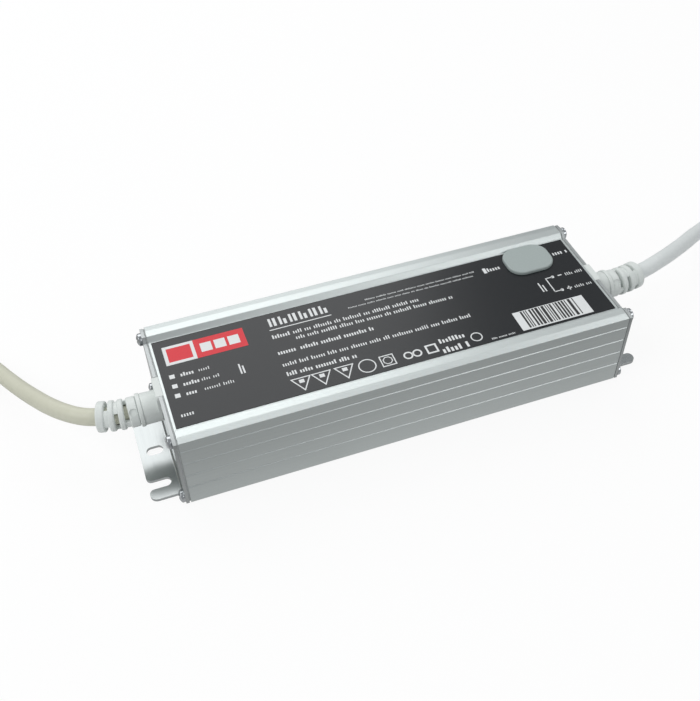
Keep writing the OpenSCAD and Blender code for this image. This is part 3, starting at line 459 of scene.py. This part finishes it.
def outline(sides, x, y, radius, turn, line):
    """A closed outline of so many sides, round a middle, in mm."""
    bpy.ops.mesh.primitive_circle_add(
        vertices=sides, radius=radius / 1000, fill_type="NGON",
        location=(x / 1000, y / 1000, film_top / 1000), rotation=(0, 0, math.radians(turn)))
    bpy.ops.mesh.inset(thickness=line / 1000)
    bpy.ops.mesh.delete(type="FACE")


def row(x0, x1, y, tall, wide=0.42, pitch=0.98):
    """A line of greeked print: words of plain ticks, and no letters."""
    x = x0
    while x < x1 - 1:
        for tick in range(chance.randint(3, 9)):
            if x + wide > x1:
                break
            height = tall * chance.choice((0.7, 0.7, 0.72, 1))
            field(x, x + wide, y - tall / 2, y - tall / 2 + height)
            x += pitch
        x += pitch * 0.9


def end_print(ink):
    """Gives the drawn fields their thickness and finishes the layer."""
    bpy.ops.mesh.select_all(action="SELECT")
    bpy.ops.mesh.extrude_region_move(TRANSFORM_OT_translate={"value": (0, 0, ink_mm / 1000)})
    bpy.ops.mesh.select_all(action="SELECT")
    bpy.ops.mesh.normals_make_consistent(inside=False)
    bpy.ops.object.mode_set(mode="OBJECT")
    piece = bpy.context.active_object
    piece.data.materials.append(ink)
    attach(piece, "driver")


# Print sizes: how tall the ticks are, how wide, and how far apart, in mm.
plain = (2.1, 0.55, 1.05)
bold = (2.3, 0.7, 1.15)
fine = (0.9, 0.3, 0.6)
mark = (2.4, 0.75, 1.3)
chance = random.Random(7)
# White ink is a solid matt white, a touch thin at its edges.
white_ink = mottled("white_screen_ink", "#e2e4e4", "#d6d9d9", 0.4, 0.01, Roughness=0.5)
start_print("label_white_print")
for y, x1 in ((2.7, -75.2), (-2.8, -73.5), (-8.2, -68.5)):
    field(-93.7, -91.5, y - 1.1, y + 1.1)
    row(-89.1, -82.5, y, 2.1, 0.75, 1.15)
    row(-81.5, x1, y, 1.7)
field(-65.6, -64.9, -5.6, 0.2)
field(-64.3, -63.6, -5.6, -1.2)
row(-93.6, -87.5, -18.8, 2.1, 0.6, 1.1)
field(-47.7, -19.9, 14.2, 14.7)
for i in range(6):
    step = 4.6 * i
    field(-46.9 + step, -45.8 + step, 16.4, 21.4)
    field(-45.0 + step, -43.7 + step, 16.4, 21.4 - i % 2 * 1.8)
row(-47.8, -38, 10.2, *bold)
row(-38.6, 19.8, 10.2, *plain)
row(-38.4, 34.5, 6.6, *plain)
row(-48.2, -40, 0.4, *bold)
row(-38.4, -4.7, 0.4, *bold)
row(-48.3, 36.8, -6.8, *plain)
row(-48.2, -17.8, -12.3, *bold)
row(-3, 49.7, 18.3, *fine)
row(-11.6, 49.3, 15.9, *fine)
row(38.8, 51, -23.2, 1, 0.35, 0.65)
row(14, 17, -6, 1.4)
for x in (-43.6, -34.9, -25.1):
    outline(3, x, -18.4, 5.1, 180, 0.5)
    field(x - 1.1, x + 1.1, -18.9, -17)
outline(32, -15.8, -19.4, 3.8, 0, 0.5)
outline(4, -6.8, -19.4, 4.4, 45, 0.5)
outline(8, -6.8, -19.4, 2.2, 22.5, 0.4)
for x in (2.2, 6.2):
    outline(24, x, -19.8, 2.1, 0, 0.7)
outline(4, 12.8, -19.6, 3.6, 45, 0.8)
row(17.2, 30, -16.9, 2.6, 0.9, 1.5)
row(16.7, 30, -22.3, 3.2, 1.1, 1.8)
outline(24, 33.2, -19.8, 2.6, 0, 0.5)
field(53.6, 55.1, 15.4, 18.8)
row(55.6, 62.4, 17.1, *mark)
row(88.4, 95.8, 16.8, *mark)
field(72.6, 73.2, -4.8, 1.2)
field(74, 74.6, -4.8, -0.6)
field(77.3, 77.8, -6.4, 2.7)
for y in (-6.4, 2.7):
    field(77.3, 81, y - 0.25, y + 0.25)
    outline(16, 81, y, 0.8, 0, 0.6)
field(83.6, 85.6, 2.4, 3)
field(83.5, 85.9, -6.6, -6)
field(84.4, 85, -7.5, -5.1)
row(87.2, 95.6, 2.4, 1.7)
row(87.2, 95.6, -6.4, 1.7)
field(53.3, 87.1, -23.6, -12.3)
for x in (-93.4, -81.7):
    field(x, x + 1.5, 9.3, 20.4)
for y in (9.3, 18.9):
    field(-91.9, -81.7, y, y + 1.5)
for x in (-77.8, -71.8, -65.8):
    field(x, x + 4.8, 12.2, 17.4)
end_print(white_ink)

# Red ink: a block inside the white frame, and a bar left open round three white blocks.
red_ink = mottled("red_screen_ink", "#d8202f", "#cc1d2b", 0.6, 0.01, Roughness=0.45)
start_print("label_red_print")
field(-91.9, -81.7, 10.8, 18.9)
field(-80.2, -77.8, 9.3, 20.4)
field(-61, -58.4, 9.3, 20.4)
for x in (-73, -67):
    field(x, x + 1.2, 12.2, 17.4)
field(-77.8, -61, 9.3, 12.2)
field(-77.8, -61, 17.4, 20.4)
end_print(red_ink)

# Black bars on the white field stand for a code, and none can be read.
black_ink = mottled("black_screen_ink", "#1b1c1d", "#222324", 0.5, 0.01, Roughness=0.5)
film_top += ink_mm
start_print("label_black_print")
bar_x = 56.8
while bar_x < 82.5:
    bar = chance.choice((0.5, 0.5, 0.9, 1.3))
    field(bar_x, bar_x + bar, -22.9, -12.6)
    bar_x += bar + chance.choice((0.5, 0.6, 1.0))
end_print(black_ink)

# Plug over the trimmers: a soft oblong stopper in the label's far corner.
# Moulded grey silicone rubber, pushed into the case until its lip snaps under the roof.
# Silicone is matt with a dusty bloom.
rubber = mottled("grey_silicone_rubber", "#a4aeac", "#9aa4a2", 0.8, 0.03, Roughness=0.6)
dress(rubber, "adjuster_plug")

# Studio: a white paper floor, a large soft light behind, one on the left and two weak fills.
# Floor and air show white to the eye, and the floor keeps a faint shadow. In the metal the floor shows
# a
# painted reflection: it glows pale in an oval close round the driver and greyer farther out, which
# paints the case's sides darker at the top and lighter at the bottom.
floor_finish = finish_named("white_paper_sweep_with_painted_reflection")
floor_where = node(floor_finish, "ShaderNodeTexCoord", {})
painted_reflection_oval = node(floor_finish, "ShaderNodeMapping",
                  {"Vector": (floor_where, "Object"), "Scale": [0.25, 1, 0]})
painted_reflection_distance = node(floor_finish, "ShaderNodeVectorMath", {0: (painted_reflection_oval, 0)}, operation="LENGTH")
# Painted reflection: the floor's glow falls from 0.66 close round the driver to 0.26 farther out, and
# it shows only in glossy and transmission rays.
painted_reflection_glow = node(floor_finish, "ShaderNodeMapRange",
                  {0: (painted_reflection_distance, "Value"), 1: 0.034, 2: 0.085, 3: 0.66, 4: 0.26})
floor_path = node(floor_finish, "ShaderNodeLightPath", {})
white_or_painted_reflection_strength = node(floor_finish, "ShaderNodeMix",
                   {0: (floor_path, "Is Camera Ray"), 2: (painted_reflection_glow, 0), 3: 1.0}, data_type="FLOAT")
floor_seen = node(floor_finish, "ShaderNodeMath",
                  {0: (floor_path, "Is Camera Ray"), 1: 0.9}, operation="MULTIPLY")
floor_gloss = node(floor_finish, "ShaderNodeMath",
                   {0: (floor_path, "Is Glossy Ray"), 1: 0.8, 2: (floor_seen, 0)},
                   operation="MULTIPLY_ADD")
floor_all = node(floor_finish, "ShaderNodeMath",
                 {0: (floor_path, "Is Transmission Ray"), 1: 0.8, 2: (floor_gloss, 0)},
                 operation="MULTIPLY_ADD")
# The floor's emission is white to the camera and the painted reflection glow in the metal.
white_and_painted_reflection_emission = node(floor_finish, "ShaderNodeEmission",
                   {"Color": [1, 1, 1, 1], "Strength": (white_or_painted_reflection_strength, 0)})
floor_paper = node(floor_finish, "Principled BSDF",
                   {"Base Color": linear("#f4f4f4"), "Roughness": 0.9})
floor_mix = node(floor_finish, "ShaderNodeMixShader",
                 {0: (floor_all, 0), 1: (floor_paper, 0), 2: (white_and_painted_reflection_emission, 0)})
node(floor_finish, "Material Output", {"Surface": (floor_mix, 0)})
bpy.ops.object.select_all(action="DESELECT")
bpy.ops.mesh.primitive_plane_add(size=8, location=(0, 0, -0.00005))
floor = bpy.context.active_object
floor.name = "floor"
floor.data.materials.append(floor_finish)


def softbox(name, place, aim, wide, high, watts):
    """A soft rectangular studio light, aimed at a point, in metres."""
    bpy.ops.object.light_add(type="AREA", location=place)
    lamp = bpy.context.active_object
    lamp.name = name
    lamp.rotation_euler = (Vector(aim) - Vector(place)).to_track_quat("-Z", "Y").to_euler()
    lamp.data.shape = "RECTANGLE"
    lamp.data.size = wide
    lamp.data.size_y = high
    lamp.data.energy = watts


case_middle = (0, 0, 0.02)
softbox("back_light", (-0.1, 0.63, 0.7), (-0.1, 0, 0.02), 0.86, 0.75, 3.35)
softbox("left_light", (-0.75, -0.1, 0.8), case_middle, 0.6, 0.6, 4.0)
softbox("right_light", (0.75, 0.25, 0.95), case_middle, 0.5, 0.5, 1.5)
softbox("front_light", (0.42, -0.72, 0.58), case_middle, 0.5, 0.4, 1.3)

# Air round the set: white to the eye, and a mid grey as light and in the metal.
world = bpy.data.worlds.new("studio_air")
world.use_nodes = True
air_path = node(world, "ShaderNodeLightPath", {})
air_tone = node(world, "ShaderNodeMix",
                {0: (air_path, "Is Camera Ray"), 6: linear("#a8aaac"), 7: linear("#fdfdfd")},
                data_type="RGBA")
node(world, "Background", {"Color": (air_tone, 2), "Strength": 1.0})
bpy.context.scene.world = world
bpy.context.scene.view_settings.view_transform = "Standard"

# Camera of the photograph, fitted to the case's edges: place, aim, focal length and roll.
place = Vector((-0.1075, -0.2684, 0.3210))
aim = Vector((-0.01275, 0.01139, 0.0150))
roll = math.radians(-1.31)
lens = bpy.data.cameras.new("photo_camera")
lens.lens = 48.67
lens.sensor_width = 36
lens.sensor_fit = "HORIZONTAL"
lens.clip_start = 0.01
camera = bpy.data.objects.new("photo_camera", lens)
bpy.context.scene.collection.objects.link(camera)
camera.location = place
camera.rotation_mode = "QUATERNION"
camera.rotation_quaternion = ((aim - place).to_track_quat("-Z", "Y")
                              @ Quaternion((0, 0, 1), roll))
bpy.context.scene.camera = camera
